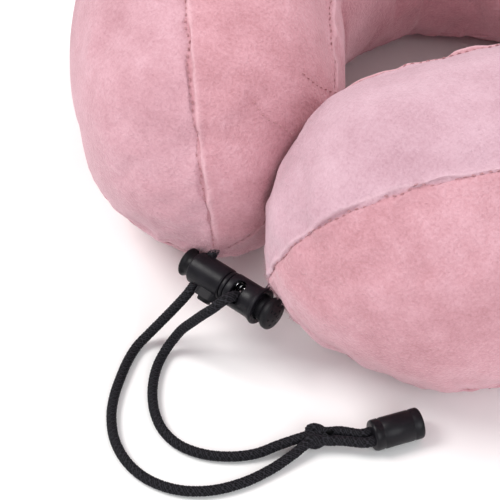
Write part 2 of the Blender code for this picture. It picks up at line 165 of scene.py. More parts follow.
def sharp(obj, angle=35):
    obj.data.shade_smooth()
    obj.data.set_sharp_from_angle(angle=radians(angle))
    return obj


def run_along(points):
    """The distance run from the first point of a line to each of its points."""
    return np.concatenate([[0], np.cumsum(np.linalg.norm(np.diff(points, axis=0), axis=1))])


def catmull(points, step):
    """Points every step along a Catmull-Rom curve through the given ones."""
    knots = [np.array(p, float) for p in points]
    knots = [2 * knots[0] - knots[1]] + knots + [2 * knots[-1] - knots[-2]]
    fine = []
    for p0, p1, p2, p3 in zip(knots, knots[1:], knots[2:], knots[3:]):
        for t in np.linspace(0, 1, 24, endpoint=False):
            fine.append(0.5 * (2 * p1 + (p2 - p0) * t + (2 * p0 - 5 * p1 + 4 * p2 - p3) * t**2
                               + (3 * p1 - p0 - 3 * p2 + p3) * t**3))
    fine.append(knots[-2])
    fine = np.array(fine)
    run = run_along(fine)
    count = max(2, int(round(run[-1] / step)))
    at = np.linspace(0, run[-1], count + 1)
    return np.stack([np.interp(at, run, fine[:, k]) for k in range(fine.shape[1])], axis=1)


def from_lock(point):
    return np.array((LOCK.x + point[0] * MM, LOCK.y + point[1] * MM, point[2] * MM))


def on_lock(x, across=0.0, facing=0.0):
    return LOCK + Vector((x, 0.0, 0.0)) + ACROSS * across + FACING * facing


ON_CORD = {"left": ["anchor_knot_left"], "right": ["anchor_knot_right"]}


def settle(piece, body, slot, *nodes, cord=None):
    """Puts a piece on its body, in place of its CAD nodes, and on its cord; the slot is not used.
    """
    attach(piece, body)
    if nodes:
        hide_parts(*nodes)
    if cord:
        ON_CORD[cord].append(piece)


# ================================================================ materials

class Nodes:
    """A material's node tree with short ways to add and join nodes."""

    def __init__(self, name, colour, rough, metal=0.0):
        self.mat = bpy.data.materials.new(name)
        self.mat.use_nodes = True
        self.tree = self.mat.node_tree
        self.shader = self.tree.nodes["Principled BSDF"]
        self.set("Base Color", (*colour, 1.0))
        self.set("Roughness", rough)
        self.set("Metallic", metal)

    def set(self, socket, value):
        self.shader.inputs[socket].default_value = value

    def drive(self, socket, out):
        self.join(out, self.shader.inputs[socket])

    def add(self, kind, **inputs):
        node = self.tree.nodes.new(kind)
        for key, value in inputs.items():
            if hasattr(node, key):
                setattr(node, key, value)
            else:
                node.inputs[key.replace("_", " ")].default_value = value
        return node

    def join(self, out, into):
        self.tree.links.new(out, into)

    def coords(self):
        return self.add("ShaderNodeTexCoord").outputs["Object"]

    def attribute(self, name):
        return self.add("ShaderNodeAttribute", attribute_name=name).outputs["Fac"]

    def feed(self, slot, value):
        """Gives a socket a number, a colour or another node's output."""
        if isinstance(value, (float, int)):
            slot.default_value = value
        elif isinstance(value, tuple):
            slot.default_value = (*value, 1.0)
        else:
            self.join(value, slot)

    def noise(self, vector, scale, detail=3.0, rough=0.5):
        node = self.add("ShaderNodeTexNoise", Scale=scale, Detail=detail, Roughness=rough)
        self.join(vector, node.inputs["Vector"])
        return node.outputs["Fac"]

    def ramp(self, fac, *stops):
        node = self.add("ShaderNodeValToRGB")
        element = node.color_ramp.elements
        while len(element) < len(stops):
            element.new(0.5)
        for slot, (at, colour) in zip(element, stops):
            slot.position = at
            slot.color = (*colour, 1.0)
        self.join(fac, node.inputs["Fac"])
        return node.outputs["Color"]

    def blend(self, fac, a, b, mode="MIX"):
        node = self.add("ShaderNodeMix")
        node.data_type = "RGBA"
        node.blend_type = mode
        for socket, value in (("Factor_Float", fac), ("A_Color", a), ("B_Color", b)):
            self.feed(next(i for i in node.inputs if i.identifier == socket), value)
        return next(o for o in node.outputs if o.identifier == "Result_Color")

    def maths(self, kind, a, b=0.0):
        node = self.add("ShaderNodeMath")
        node.operation = kind
        for slot, value in zip(node.inputs, (a, b)):
            self.feed(slot, value)
        return node.outputs[0]

    def bump(self, height, distance, strength=1.0, before=None):
        node = self.add("ShaderNodeBump", Distance=distance, Strength=strength)
        self.join(height, node.inputs["Height"])
        if before:
            self.join(before, node.inputs["Normal"])
        return node.outputs["Normal"]


def velour_material():
    """Pile with a fine grain and brushed streaks, a painted highlight on the ridge beside each
    seam, painted shade in the seams and darts, and painted sheen on some panels.
    """
    m = Nodes("pink_velour", (0.62, 0.32, 0.36), 0.95)
    at = m.coords()
    patches = m.noise(at, 26, 3, 0.55)
    brushed = m.noise(at, 120, 4, 0.65)
    grain = m.noise(at, 900, 2, 0.6)
    fibres = m.noise(at, 1700, 2, 0.7)
    shade = m.maths("ADD", m.maths("MULTIPLY", patches, 0.42), m.maths("MULTIPLY", brushed, 0.30))
    shade = m.maths("ADD", shade, m.maths("MULTIPLY", grain, 0.28))
    # The second ramp is a lighter, bluer copy of the first: a painted sheen, which the panel
    # attribute lays on the panels where the pile catches the light.
    warm = m.ramp(shade, (0.34, (0.480, 0.225, 0.255)), (0.50, (0.600, 0.312, 0.355)),
                  (0.66, (0.720, 0.415, 0.475)))
    painted_sheen_tone = m.ramp(shade, (0.34, (0.490, 0.290, 0.345)), (0.50, (0.580, 0.370, 0.435)),
                  (0.66, (0.665, 0.450, 0.520)))
    tone = m.blend(m.attribute("panel"), warm, painted_sheen_tone)
    fine = m.ramp(fibres, (0.28, (0.88, 0.86, 0.87)), (0.72, (1.0, 1.0, 1.0)))
    tone = m.blend(0.8, tone, fine, "MULTIPLY")
    # Painted shade in the seam grooves and, half as strong, along the darts.
    tone = m.blend(m.maths("MULTIPLY", m.attribute("seam"), 0.18), tone, (0.34, 0.12, 0.14))
    # Painted highlight on the raised ridge beside each seam.
    tone = m.blend(m.maths("MULTIPLY", m.attribute("ridge"), 0.32), tone, (0.86, 0.60, 0.66))
    m.drive("Base Color", tone)
    nap = m.bump(brushed, 0.0010, 0.35)
    curl = m.bump(grain, 0.0007, 0.75, nap)
    pile = m.bump(fibres, 0.0003, 0.6, curl)
    m.drive("Normal", pile)
    m.set("Sheen Weight", 0.45)
    m.set("Sheen Roughness", 0.40)
    m.set("Sheen Tint", (1.0, 0.86, 0.92, 1.0))
    m.set("Specular IOR Level", 0.08)
    return m.mat


def pile_material():
    m = Nodes("loose_pile", (0.60, 0.34, 0.39), 0.9)
    tint = m.noise(m.coords(), 400, 2)
    m.drive("Base Color", m.ramp(tint, (0.3, (0.46, 0.22, 0.26)), (0.7, (0.74, 0.48, 0.54))))
    m.set("Sheen Weight", 0.5)
    return m.mat


def thread_material():
    m = Nodes("stitch_thread", (0.40, 0.17, 0.19), 0.7)
    at = m.coords()
    twist = m.noise(at, 2600, 2)
    m.drive("Base Color", m.ramp(twist, (0.3, (0.33, 0.13, 0.14)), (0.7, (0.52, 0.25, 0.28))))
    m.drive("Normal", m.bump(twist, 0.0001, 0.7))
    m.set("Sheen Weight", 0.3)
    return m.mat


def cord_material():
    m = Nodes("braided_cord", (0.006, 0.006, 0.008), 0.7)
    at = m.coords()
    yarn = m.noise(at, 3200, 3, 0.7)
    # Painted light and shade on the braid: near black in the hollows between strands, lighter on
    # their raised crowns.
    painted_braid_shading = m.ramp(m.attribute("painted_braid_shading"), (0.35, (0.0010, 0.0010, 0.0014)),
                    (0.92, (0.040, 0.038, 0.048)))
    fuzz = m.ramp(yarn, (0.3, (0.55, 0.55, 0.55)), (0.72, (1.0, 1.0, 1.0)))
    m.drive("Base Color", m.blend(1.0, painted_braid_shading, fuzz, "MULTIPLY"))
    m.drive("Normal", m.bump(yarn, 0.00012, 0.8))
    m.set("Sheen Weight", 0.03)
    m.set("Sheen Roughness", 0.35)
    m.set("Sheen Tint", (0.8, 0.8, 1.0, 1.0))
    m.set("Specular IOR Level", 0.14)
    return m.mat


def plastic_material(name, colour, rough, lift=0.5):
    m = Nodes(name, colour, rough)
    at = m.coords()
    grain = m.noise(at, 2400, 2, 0.6)
    smear = m.noise(at, 180, 4, 0.6)
    lighter = tuple(c * 1.6 for c in colour)
    m.drive("Base Color", m.ramp(smear, (0.35, colour), (0.75, lighter)))
    m.drive("Roughness", m.ramp(smear, (0.3, (rough - 0.07,) * 3), (0.7, (rough + 0.10,) * 3)))
    m.drive("Normal", m.bump(grain, 0.00006, lift))
    m.set("Specular IOR Level", 0.17)
    return m.mat


def metal_material(name, colour, rough):
    m = Nodes(name, colour, rough, 1.0)
    at = m.coords()
    drawn = m.noise(at, 1500, 3, 0.6)
    m.drive("Base Color", m.ramp(drawn, (0.3, tuple(c * 0.8 for c in colour)), (0.7, colour)))
    m.drive("Roughness", m.ramp(drawn, (0.3, (rough,) * 3), (0.7, (rough + 0.12,) * 3)))
    return m.mat


def cloth_material(name, colour, weave):
    m = Nodes(name, colour, 0.9)
    at = m.coords()
    warp = m.add("ShaderNodeTexWave", Scale=weave, Distortion=0.6)
    weft = m.add("ShaderNodeTexWave", Scale=weave, Distortion=0.6)
    weft.bands_direction = "Y"
    for node in (warp, weft):
        m.join(at, node.inputs["Vector"])
    over = m.maths("MAXIMUM", warp.outputs["Fac"], weft.outputs["Fac"])
    low = tuple(c * 0.75 for c in colour)
    m.drive("Base Color", m.ramp(over, (0.2, low), (0.8, colour)))
    m.drive("Normal", m.bump(over, 0.0002, 0.5))
    m.set("Sheen Weight", 0.3)
    return m.mat


def foam_material():
    m = Nodes("memory_foam", (0.88, 0.82, 0.66), 0.9)
    at = m.coords()
    cells = m.add("ShaderNodeTexVoronoi", Scale=900.0)
    m.join(at, cells.inputs["Vector"])
    m.drive("Base Color", m.ramp(cells.outputs["Distance"], (0.1, (0.66, 0.58, 0.42)),
                                 (0.5, (0.90, 0.85, 0.70))))
    m.drive("Normal", m.bump(cells.outputs["Distance"], 0.0004, 0.6))
    return m.mat


VELOUR = velour_material()
PILE = pile_material()
THREAD = thread_material()
CORD = cord_material()
SHELL = plastic_material("lock_shell_plastic", (0.0065, 0.0058, 0.0080), 0.34)
INNER = plastic_material("plunger_plastic", (0.0055, 0.0050, 0.0065), 0.42)
BARREL = plastic_material("cord_end_plastic", (0.0070, 0.0064, 0.0085), 0.32)
STEEL = metal_material("spring_steel", (0.80, 0.80, 0.82), 0.16)
ZIP_METAL = metal_material("zip_metal", (0.62, 0.62, 0.64), 0.30)
ZIP_NYLON = plastic_material("zip_nylon", (0.62, 0.30, 0.33), 0.45)
TAPE = cloth_material("zip_tape_weave", (0.66, 0.32, 0.36), 700.0)
COTTON = cloth_material("liner_weave", (0.88, 0.88, 0.86), 420.0)
FOAM = foam_material()


# ================================================================ camera, light, floor

VIEW_TURN = radians(40)
VIEW_RISE = radians(46)
VIEW_DISTANCE = 0.65
PICTURE_WIDTH = 0.175        # what the picture spans at the lock
AIM_ASIDE = 0.00714
AIM_UP = 0.01298


def make_camera():
    right = Vector((cos(VIEW_TURN), sin(VIEW_TURN), 0.0))
    towards = Vector((sin(VIEW_TURN) * cos(VIEW_RISE), -cos(VIEW_TURN) * cos(VIEW_RISE),
                      sin(VIEW_RISE)))
    up = towards.cross(right)
    aim = LOCK + right * AIM_ASIDE + up * AIM_UP
    data = bpy.data.cameras.new("camera")
    data.sensor_width = 36.0
    data.lens = 36.0 * VIEW_DISTANCE / PICTURE_WIDTH
    data.clip_start = 0.01
    camera = bpy.data.objects.new("camera", data)
    bpy.context.scene.collection.objects.link(camera)
    turn = Matrix((right, up, towards)).transposed().to_4x4()
    camera.matrix_world = Matrix.Translation(aim + towards * VIEW_DISTANCE) @ turn
    bpy.context.scene.camera = camera


def area_light(name, place, aim, size, power, colour=(1, 1, 1)):
    data = bpy.data.lights.new(name, "AREA")
    data.shape = "DISK"
    data.size = size
    data.energy = power
    data.color = colour
    lamp = bpy.data.objects.new(name, data)
    bpy.context.scene.collection.objects.link(lamp)
    lamp.location = place
    lamp.rotation_euler = (Vector(aim) - Vector(place)).to_track_quat("-Z", "Y").to_euler()


def make_studio():
    scene = bpy.context.scene
    scene.view_settings.view_transform = "Standard"
    world = bpy.data.worlds.new("studio")
    world.use_nodes = True
    world.node_tree.nodes["Background"].inputs["Color"].default_value = (1.0, 1.0, 1.0, 1.0)
    world.node_tree.nodes["Background"].inputs["Strength"].default_value = 0.60
    scene.world = world
    area_light("key", (-0.55, -0.50, 0.95), (0, -0.05, 0.05), 0.6, 9.0, (1.0, 0.98, 0.96))
    area_light("fill", (0.80, -0.55, 0.65), (0, -0.05, 0.05), 0.8, 5.0, (0.96, 0.98, 1.0))
    area_light("rim", (0.20, 0.85, 0.70), (0, 0.0, 0.05), 0.6, 5.0)
    floor = Nodes("pale_floor", (0.93, 0.93, 0.93), 0.6)
    grain = floor.noise(floor.coords(), 30, 2)
    floor.drive("Base Color", floor.ramp(grain, (0.3, (0.915,) * 3), (0.7, (0.94,) * 3)))
    floor.set("Specular IOR Level", 0.1)
    verts = [(-3, -3, -0.0002), (3, -3, -0.0002), (3, 3, -0.0002), (-3, 3, -0.0002)]
    from_arrays("floor", verts, [(0, 1, 2, 3)], floor.mat, smooth=False)


# ================================================================ cords

BRAID_STRANDS = 8
BRAID_PITCH = 0.0076
BRAID_RELIEF = 0.00034
BRAID_MEAN = 0.75            # how much of the relief lies below the cord's own radius


def tube_frames(path):
    """Tangent, side and up along a path, turned as little as possible."""
    path = np.asarray(path)
    along = np.gradient(path, axis=0)
    along /= np.linalg.norm(along, axis=1)[:, None]
    side = np.cross(along[0], (0.0, 0.0, 1.0))
    if np.linalg.norm(side) < 0.1:
        side = np.cross(along[0], (0.0, 1.0, 0.0))
    sides = []
    for tangent in along:
        side = side - tangent * (side @ tangent)
        side /= np.linalg.norm(side)
        sides.append(side)
    sides = np.array(sides)
    return along, sides, np.cross(along, sides)


def swept(name, path, radius, mat, around=24, relief=None):
    """A closed tube along a path; relief(run, angle) adds to its radius."""
    path = np.asarray(path)
    _, side, up = tube_frames(path)
    run = run_along(path)
    angle = np.linspace(0, tau, around, endpoint=False)
    radius = np.full((len(path), around), float(radius))
    if relief is not None:
        radius = radius + relief(run[:, None], angle[None, :])
    verts = (path[:, None] + side[:, None] * (radius * np.cos(angle))[..., None]
             + up[:, None] * (radius * np.sin(angle))[..., None]).reshape(-1, 3)
    tube = from_arrays(name, verts, tube_faces(len(path), around), mat)
    if relief is not None:
        # Each point's braid height, which the cord material turns into painted shade in the
        # hollows and painted highlights on the crowns.
        mark(tube, "painted_braid_shading", relief(run[:, None], angle[None, :]) / BRAID_RELIEF + BRAID_MEAN)
    return tube


def braid(run, angle):
    """Two sets of crossing strands, each passing over the other by turns."""
    turn = tau * run / BRAID_PITCH
    half = BRAID_STRANDS / 2
    one = np.cos(half * (angle + turn))
    two = np.cos(half * (angle - turn))
    over = 0.5 + 0.5 * np.tanh(3.0 * np.sin(half * angle) * np.sin(half * turn))
    high = over * np.abs(one) + (1 - over) * np.abs(two)
    return BRAID_RELIEF * (high ** 1.5 - BRAID_MEAN)


def cord_path(route, step=0.42):
    return [from_lock(p) for p in catmull(route, step)]


def square_to(direction):
    return Vector((-direction.y, direction.x, 0.0)) * 2.0


def tail_points(side):
    towards = (BARREL_FACE - KNOT).normalized()
    start = KNOT + towards * 5.0 + square_to(towards) * side
    end = BARREL_FACE + BARREL_DIR * 1.5 + square_to(BARREL_DIR) * side
    return [start, start + towards * 3.5, end - BARREL_DIR * 4.5, end]


def through_knot(route, side):
    """The cord's whole way: its open route, on through the knot, and into the barrel."""
    tail = [tuple(p) for p in tail_points(side)]
    return list(route) + [(KNOT.x - 1.5 - side, KNOT.y - 2.5 + side, KNOT.z)] + tail


def make_cords():
    made = {}
    for name, route, side in (("left", LEFT_ROUTE, -1), ("right", RIGHT_ROUTE, 1)):
        path = cord_path(through_knot(route, side))
        cord = swept(f"braided_cord_{name}", path, CORD_D / 2 + BRAID_RELIEF * 0.1, CORD,
                     around=32, relief=braid)
        settle(cord, "pillow", "cord", f"cord_{name}", f"tail_cord_{name}")
        made[name] = (cord, path, side)
    return made


def make_knot():
    """An overhand knot of both cords: a wound trefoil of braided cord."""
    turn = np.linspace(0, tau, 150)
    towards = (BARREL_FACE - KNOT).normalized()
    aside = Vector((-towards.y, towards.x, 0.0))
    points = []
    for t in turn[:-4]:
        along = 3.3 * np.cos(2 * t) * (1 + 0.18 * np.cos(3 * t))
        out = 3.2 * np.sin(t) + 0.6 * np.sin(3 * t)
        high = 2.2 * np.cos(3 * t)
        place = KNOT + towards * along * 0.95 + aside * out * 0.85 + Vector((0, 0, high * 0.75))
        points.append(from_lock(place))
    fine = catmull(np.array(points) / MM, 0.42) * MM
    knot = swept("overhand_knot", fine, 0.00165, CORD, around=28, relief=braid)
    low = min(v.co.z for v in knot.data.vertices)
    for vert in knot.data.vertices:
        vert.co.z += max(0.0, 0.0002 - low)
    settle(knot, "pillow", "cord", "tail_knot", cord="left")


# ================================================================ cord lock

def lathe(name, profile, mat, steps=72):
    """A solid of revolution on the lock's axis from (x, radius) points running right to left."""
    bm = bmesh.new()
    verts = [bm.verts.new((x, 0.0, r)) for x, r in profile]
    edges = [bm.edges.new(pair) for pair in zip(verts, verts[1:])]
    bmesh.ops.spin(bm, geom=verts + edges, cent=(0, 0, 0), axis=(1, 0, 0), angle=tau,
                   steps=steps, use_merge=True)
    bmesh.ops.remove_doubles(bm, verts=bm.verts, dist=1e-6)
    bm.normal_update()
    bmesh.ops.recalc_face_normals(bm, faces=bm.faces)
    piece = from_bmesh(name, bm, mat)
    piece.data.transform(Matrix.Translation(LOCK))
    return piece


LOCK_TURN = Matrix((Vector((1, 0, 0)), ACROSS, FACING)).transposed().to_4x4()


def lock_block(name, x, across, facing, rounding, seen="across", mat=SHELL, segments=6):
    """A block square to the lock, whose corners are round as seen along one direction."""
    bm = bmesh.new()
    size = (x[1] - x[0], across[1] - across[0], facing[1] - facing[0])
    bmesh.ops.create_cube(bm, size=1.0, matrix=Matrix.Diagonal((*size, 1.0)))
    axis = {"across": 1, "facing": 2}[seen]
    uprights = [e for e in bm.edges
                if abs((e.verts[0].co - e.verts[1].co).normalized()[axis]) > 0.99]
    bmesh.ops.bevel(bm, geom=uprights, offset=rounding, segments=segments, affect="EDGES",
                    profile=0.5)
    middle = on_lock(sum(x) / 2, sum(across) / 2, sum(facing) / 2)
    bm.transform(Matrix.Translation(middle) @ LOCK_TURN)
    bm.normal_update()
    bmesh.ops.recalc_face_normals(bm, faces=bm.faces)
    return from_bmesh(name, bm, mat)


def cross_rod(name, x, start, end, radius):
    """A rod across the lock, from start to end along its across direction."""
    bm = bmesh.new()
    a, b = on_lock(x, start), on_lock(x, end)
    turn = (b - a).to_track_quat("Z", "Y").to_matrix().to_4x4()
    bmesh.ops.create_cone(bm, cap_ends=True, segments=48, radius1=radius, radius2=radius,
                          depth=(b - a).length, matrix=Matrix.Translation((a + b) / 2) @ turn)
    return from_bmesh(name, bm, SHELL)


def combine(obj, cutters, operation="DIFFERENCE"):
    """Cuts or joins one piece at a time, and stops if one of them makes no difference."""
    for cutter in cutters:
        step = obj.modifiers.new(cutter.name, "BOOLEAN")
        step.operation = operation
        step.solver = "MANIFOLD"
        step.object = cutter
        before = len(obj.data.vertices)
        evaluated(obj)
        if len(obj.data.vertices) == before:
            raise RuntimeError(f"{cutter.name} did not change {obj.name}")
    for cutter in cutters:
        bpy.data.objects.remove(cutter)


def soften(obj, width=0.00022, segments=2, limit=38, crease=40):
    """Rounds the edges that turn by more than the limit, and shades by the crease angle."""
    edge = obj.modifiers.new("edges", "BEVEL")
    edge.width = width
    edge.segments = segments
    edge.limit_method = "ANGLE"
    edge.angle_limit = radians(limit)
    edge.use_clamp_overlap = True
    sharp(evaluated(obj), crease)


def arc(x, r, radius, start, end, count=6):
    """Profile points round a corner centred at (x, r), angles in degrees from +x."""
    return [(x + radius * cos(radians(a)), r + radius * sin(radians(a)))
            for a in np.linspace(start, end, count)]


def make_left_body():
    profile = [(-0.0010, 0.0), (-0.0010, 0.0052)]
    profile += arc(-0.0018, 0.0052, 0.0008, 0, 90)
    profile += [(-0.0138, 0.0060)]
    profile += arc(-0.0147, 0.0052, 0.0008, 90, 180)
    profile += [(-0.0155, 0.0048), (-0.0024, 0.0048), (-0.0024, 0.0)]
    body = lathe("lock_barrel_left", profile, SHELL)
    shroud = lock_block("shroud", (-0.0106, -0.0010), (0.0030, 0.0080), (-0.0034, 0.0034),
                        0.0030)
    combine(body, [shroud], "UNION")
    combine(body, [
        cross_rod("hole", LEFT_HOLE_X, -0.012, 0.012, 0.00215),
        lock_block("window", (-0.0090, -0.0032), (0.0030, 0.0095), (-0.0025, 0.0025), 0.0022),
        lathe("bore", [(-0.0024, 0.0), (-0.0024, 0.0048), (-0.0165, 0.0048), (-0.0165, 0.0)],
              SHELL),
    ])
    soften(body)
    settle(body, "pillow", "lock_plastic", "lock_body_left", cord="left")


def make_right_body():
    profile = [(0.0146, 0.0048), (0.0146, 0.0064)]
    profile += arc(0.0140, 0.00635, 0.0006, 0, 100)
    profile += [(0.0128, 0.00645), (0.0114, 0.00605), (0.0100, 0.0060), (0.0022, 0.0060)]
    profile += arc(0.0017, 0.0052, 0.0008, 90, 180)
    profile += [(0.0009, 0.0048), (0.0009, 0.0), (0.0016, 0.0), (0.0016, 0.0048),
                (0.0146, 0.0048)]
    body = lathe("lock_barrel_right", profile, SHELL)
    low, high = RIGHT_HOLE_X - 0.0022, RIGHT_HOLE_X + 0.0022
    combine(body, [lock_block("slot", (low, high), (-0.0044, 0.0042), (-0.010, 0.010), 0.0018,
                              seen="facing")])
    soften(body)
    settle(body, "pillow", "lock_plastic", "lock_body_right", cord="right")


def make_ring():
    profile = [(0.0007, 0.0), (0.0007, 0.0052)] + arc(0.0003, 0.0053, 0.0004, 0, 90)
    profile += arc(-0.0004, 0.0053, 0.0004, 90, 180) + [(-0.0008, 0.0)]
    ring = sharp(lathe("joining_ring", profile, SHELL), 50)
    settle(ring, "pillow", "lock_plastic", "coupling_ring", cord="left")


def make_left_plunger():
    profile = [(-0.0092, 0.0), (-0.0092, 0.0043)] + arc(-0.0095, 0.0042, 0.0003, 0, 90, 4)
    profile += [(-0.0160, 0.0045), (-0.0170, 0.00445), (-0.0177, 0.0046), (-0.0183, 0.0050)]
    profile += arc(-0.0190, 0.0049, 0.00055, 80, 180) + [(-0.0199, 0.0042), (-0.0201, 0.0)]
    plunger = lathe("plunger_button_left", profile, INNER)
    combine(plunger, [lock_block("slot", (-0.0166, -0.0104), THROUGH, (-0.0021, 0.0021),
                                 0.0018)])
    soften(plunger)
    settle(plunger, "plunger_left", "lock_plastic", "plunger_left", cord="left")


def head_dimples():
    """Small balls that cut the dimples in the right plunger's head, in rings round its axis."""
    dimples = []
    for ring, count, depth in ((0.0, 1, 0.0214), (0.0021, 4, 0.0212), (0.0040, 7, 0.02075)):
        for k in range(count):
            turn = tau * (k + 0.3) / count
            place = LOCK + Vector((depth, ring * cos(turn), ring * sin(turn)))
            bm = bmesh.new()
            bmesh.ops.create_uvsphere(bm, u_segments=12, v_segments=8, radius=0.00055,
                                      matrix=Matrix.Translation(place))
            dimples.append(from_bmesh(f"dimple_{len(dimples)}", bm, INNER))
    return dimples


def make_right_plunger():
    profile = [(0.0214, 0.0), (0.0213, 0.0016), (0.0210, 0.0030), (0.0206, 0.0042)]
    profile += arc(0.0196, 0.0050, 0.0010, 35, 100) + [(0.0186, 0.00595), (0.0178, 0.0055)]
    profile += [(0.0171, 0.00475), (0.0166, 0.0045), (0.0033, 0.0045), (0.0033, 0.0)]
    plunger = lathe("plunger_button_right", profile, INNER)
    left_edge = RIGHT_HOLE_X - CORD_D / 2 - CORD_CLEARANCE
    right_edge = RIGHT_HOLE_X + CORD_D / 2 + CORD_CLEARANCE + RIGHT_TRAVEL
    combine(plunger, [
        lock_block("slot", (left_edge, right_edge), (-0.0004, 0.0037), THROUGH, 0.0004,
                   seen="facing"),
        lock_block("room", (0.0020, 0.0100), (THROUGH[0], 0.0), THROUGH, 0.0003, seen="facing"),
        *head_dimples(),
    ])
    pin = lathe("guide_pin", [(0.0106, 0.0), (0.0106, 0.0010), (0.0036, 0.0010),
                              (0.0034, 0.0008), (0.0034, 0.0)], INNER, steps=24)
    pin.data.transform(Matrix.Translation(ACROSS * RIGHT_SPRING_ACROSS))
    combine(plunger, [pin], "UNION")
    soften(plunger, 0.00015)
    settle(plunger, "plunger_right", "lock_plastic", "plunger_right", cord="right")


def make_spring(side, x_low, x_high, across, radius, turns, wire=0.0003):
    """A coil that rests on the lock's body at one end."""
    length = x_high - x_low - 2 * wire
    t = np.linspace(0, 1, turns * 28 + 1)
    path = [on_lock(x_low + wire + length * s, across + radius * cos(tau * turns * s),
                    radius * sin(tau * turns * s)) for s in t]
    coil = swept(f"coil_spring_{side}", [tuple(p) for p in path], wire, STEEL, around=10)
    settle(coil, "pillow", "spring_steel", f"spring_{side}", cord=side)
    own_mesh(coil)


def make_latch():
    """The release button: a rounded lug in its shroud under the left barrel."""
    button = lock_block("release_button", (-0.0087, -0.0035), (0.0054, 0.0094),
                        (-0.0022, 0.0022), 0.0020, mat=INNER, segments=8)
    soften(button, 0.0007, 4, 60, 45)
    settle(button, "latch_button", "lock_plastic", "latch_button", cord="left")


def make_lock():
    make_left_body()
    make_right_body()
    make_ring()
    make_left_plunger()
    make_right_plunger()
    make_spring("left", -0.0089, -0.0027, 0.0, 0.0030, 5)
    make_spring("right", 0.0019, 0.0097, RIGHT_SPRING_ACROSS, 0.00162, 4, 0.00035)
    make_latch()


def make_barrel():
    """The cord end: a turned barrel with a shallow ring near each end and its plug."""
    face = Vector(from_lock(BARREL_FACE))
    profile = [(0.0, 0.0), (0.0, 0.0044)] + arc(0.0011, 0.0044, 0.0011, 180, 90)
    profile += [(0.0030, 0.0055), (0.0033, 0.00527), (0.0037, 0.00527), (0.0040, 0.0055)]
    profile += [(0.0140, 0.0055), (0.0143, 0.00527), (0.0147, 0.00527), (0.0150, 0.0055)]
    profile += arc(BARREL_LENGTH - 0.0009, 0.0046, 0.0009, 90, 0) + [
        (BARREL_LENGTH, 0.0040), (0.0030, 0.0040), (0.0030, 0.0)]
    plug = [(0.0060, 0.0), (0.0060, 0.0037), (BARREL_LENGTH - 0.0006, 0.0037)]
    plug += arc(BARREL_LENGTH - 0.0006, 0.0033, 0.0004, 90, 0) + [
        (BARREL_LENGTH - 0.0002, 0.0012), (BARREL_LENGTH - 0.0010, 0.0009),
        (BARREL_LENGTH - 0.0010, 0.0)]
    turn = Vector((1, 0, 0)).rotation_difference(BARREL_DIR).to_matrix().to_4x4()
    for name, node, points in (("cord_end_shell", "cord_end_barrel", profile),
                               ("cord_end_plug", "barrel_plug", plug)):
        piece = lathe(name, points, BARREL)
        piece.data.transform(Matrix.Translation(face) @ turn @ Matrix.Translation(-LOCK))
        sharp(piece, 40)
        settle(piece, "pillow", "lock_plastic", node, cord="left")


# ================================================================ pillow

SEAM_COLUMNS = (0.9, 1.9, 3.1, 4.7)    # degrees from a seam to the columns beside it
COLUMN_STEP = 2.9                      # degrees between the other columns
DOME_COUNT = 26
ARM_COUNT = 74
SWELL_CAP = 0.0022           # how far the simulation may carry a point
SINK_CAP = 0.0012            # how far the cover may dip, so that the liner stays under it
# where each cord leaves its tip, and how the cover gathers towards it, as cord points
SNOUTS = [((-13.3, 8.9, 34.4), (-12.6, 4.6, 33.4)), ((12.9, 9.2, 32.8), (11.5, 8.7, 29.8))]
# sewn darts on the left arm's neck side, as distances from the tip and seam degrees
CREASES = [
    [(0.0335, 80), (0.031, 82), (0.028, 88), (0.027, 95), (0.026, 104), (0.0255, 110)],
    [(0.043, 104), (0.042, 110), (0.042, 121), (0.044, 134)],
]
SNOUT_PULL = 0.60
SNOUT_REACH = 0.0075
FUZZ_COUNT = 2600            # fibres at each tip
FUZZ_LENGTH = 0.0016
FUZZ_REACH = 0.020           # how far from the cord they grow, and how fast they thin out
FUZZ_THINNING = 0.011
SECTION_RADIUS = 0.050       # turns an angle round the section into a distance
PRESSED_GAP = 0.0003         # half the gap between the arms where they press together
PUFF_FRAMES = 14
PUFF = {"quality": 5, "mass": 0.25, "tension_stiffness": 12, "compression_stiffness": 12,
        "shear_stiffness": 4, "bending_stiffness": 0.4, "use_pressure": True,
        "uniform_pressure_force": 4.0, "vertex_group_mass": "held", "shrink_min": -0.035}
ZIP_Y = 0.0848
POCKET_HALF_LENGTH = 0.0590  # the pocket in the underside that the zip lies in
POCKET_HALF_WIDTH = 0.0072
POCKET_DEPTH = 0.0042
POCKET_LIP = 0.0026
STITCH_LIFT = 0.00028
STITCH_SPACING = 0.0027
STITCH_LENGTH = 0.0014
STITCH_RADIUS = 0.00025
STITCH_SIDES = 6
# a stitch's rings, as shares of half its length, of its radius, and of its radius above the pile
STITCH_RINGS = [(-1.0, 0.35, -0.8), (-0.6, 0.9, 0.2), (0.0, 1.0, 0.55), (0.6, 0.9, 0.2),
                (1.0, 0.35, -0.8)]


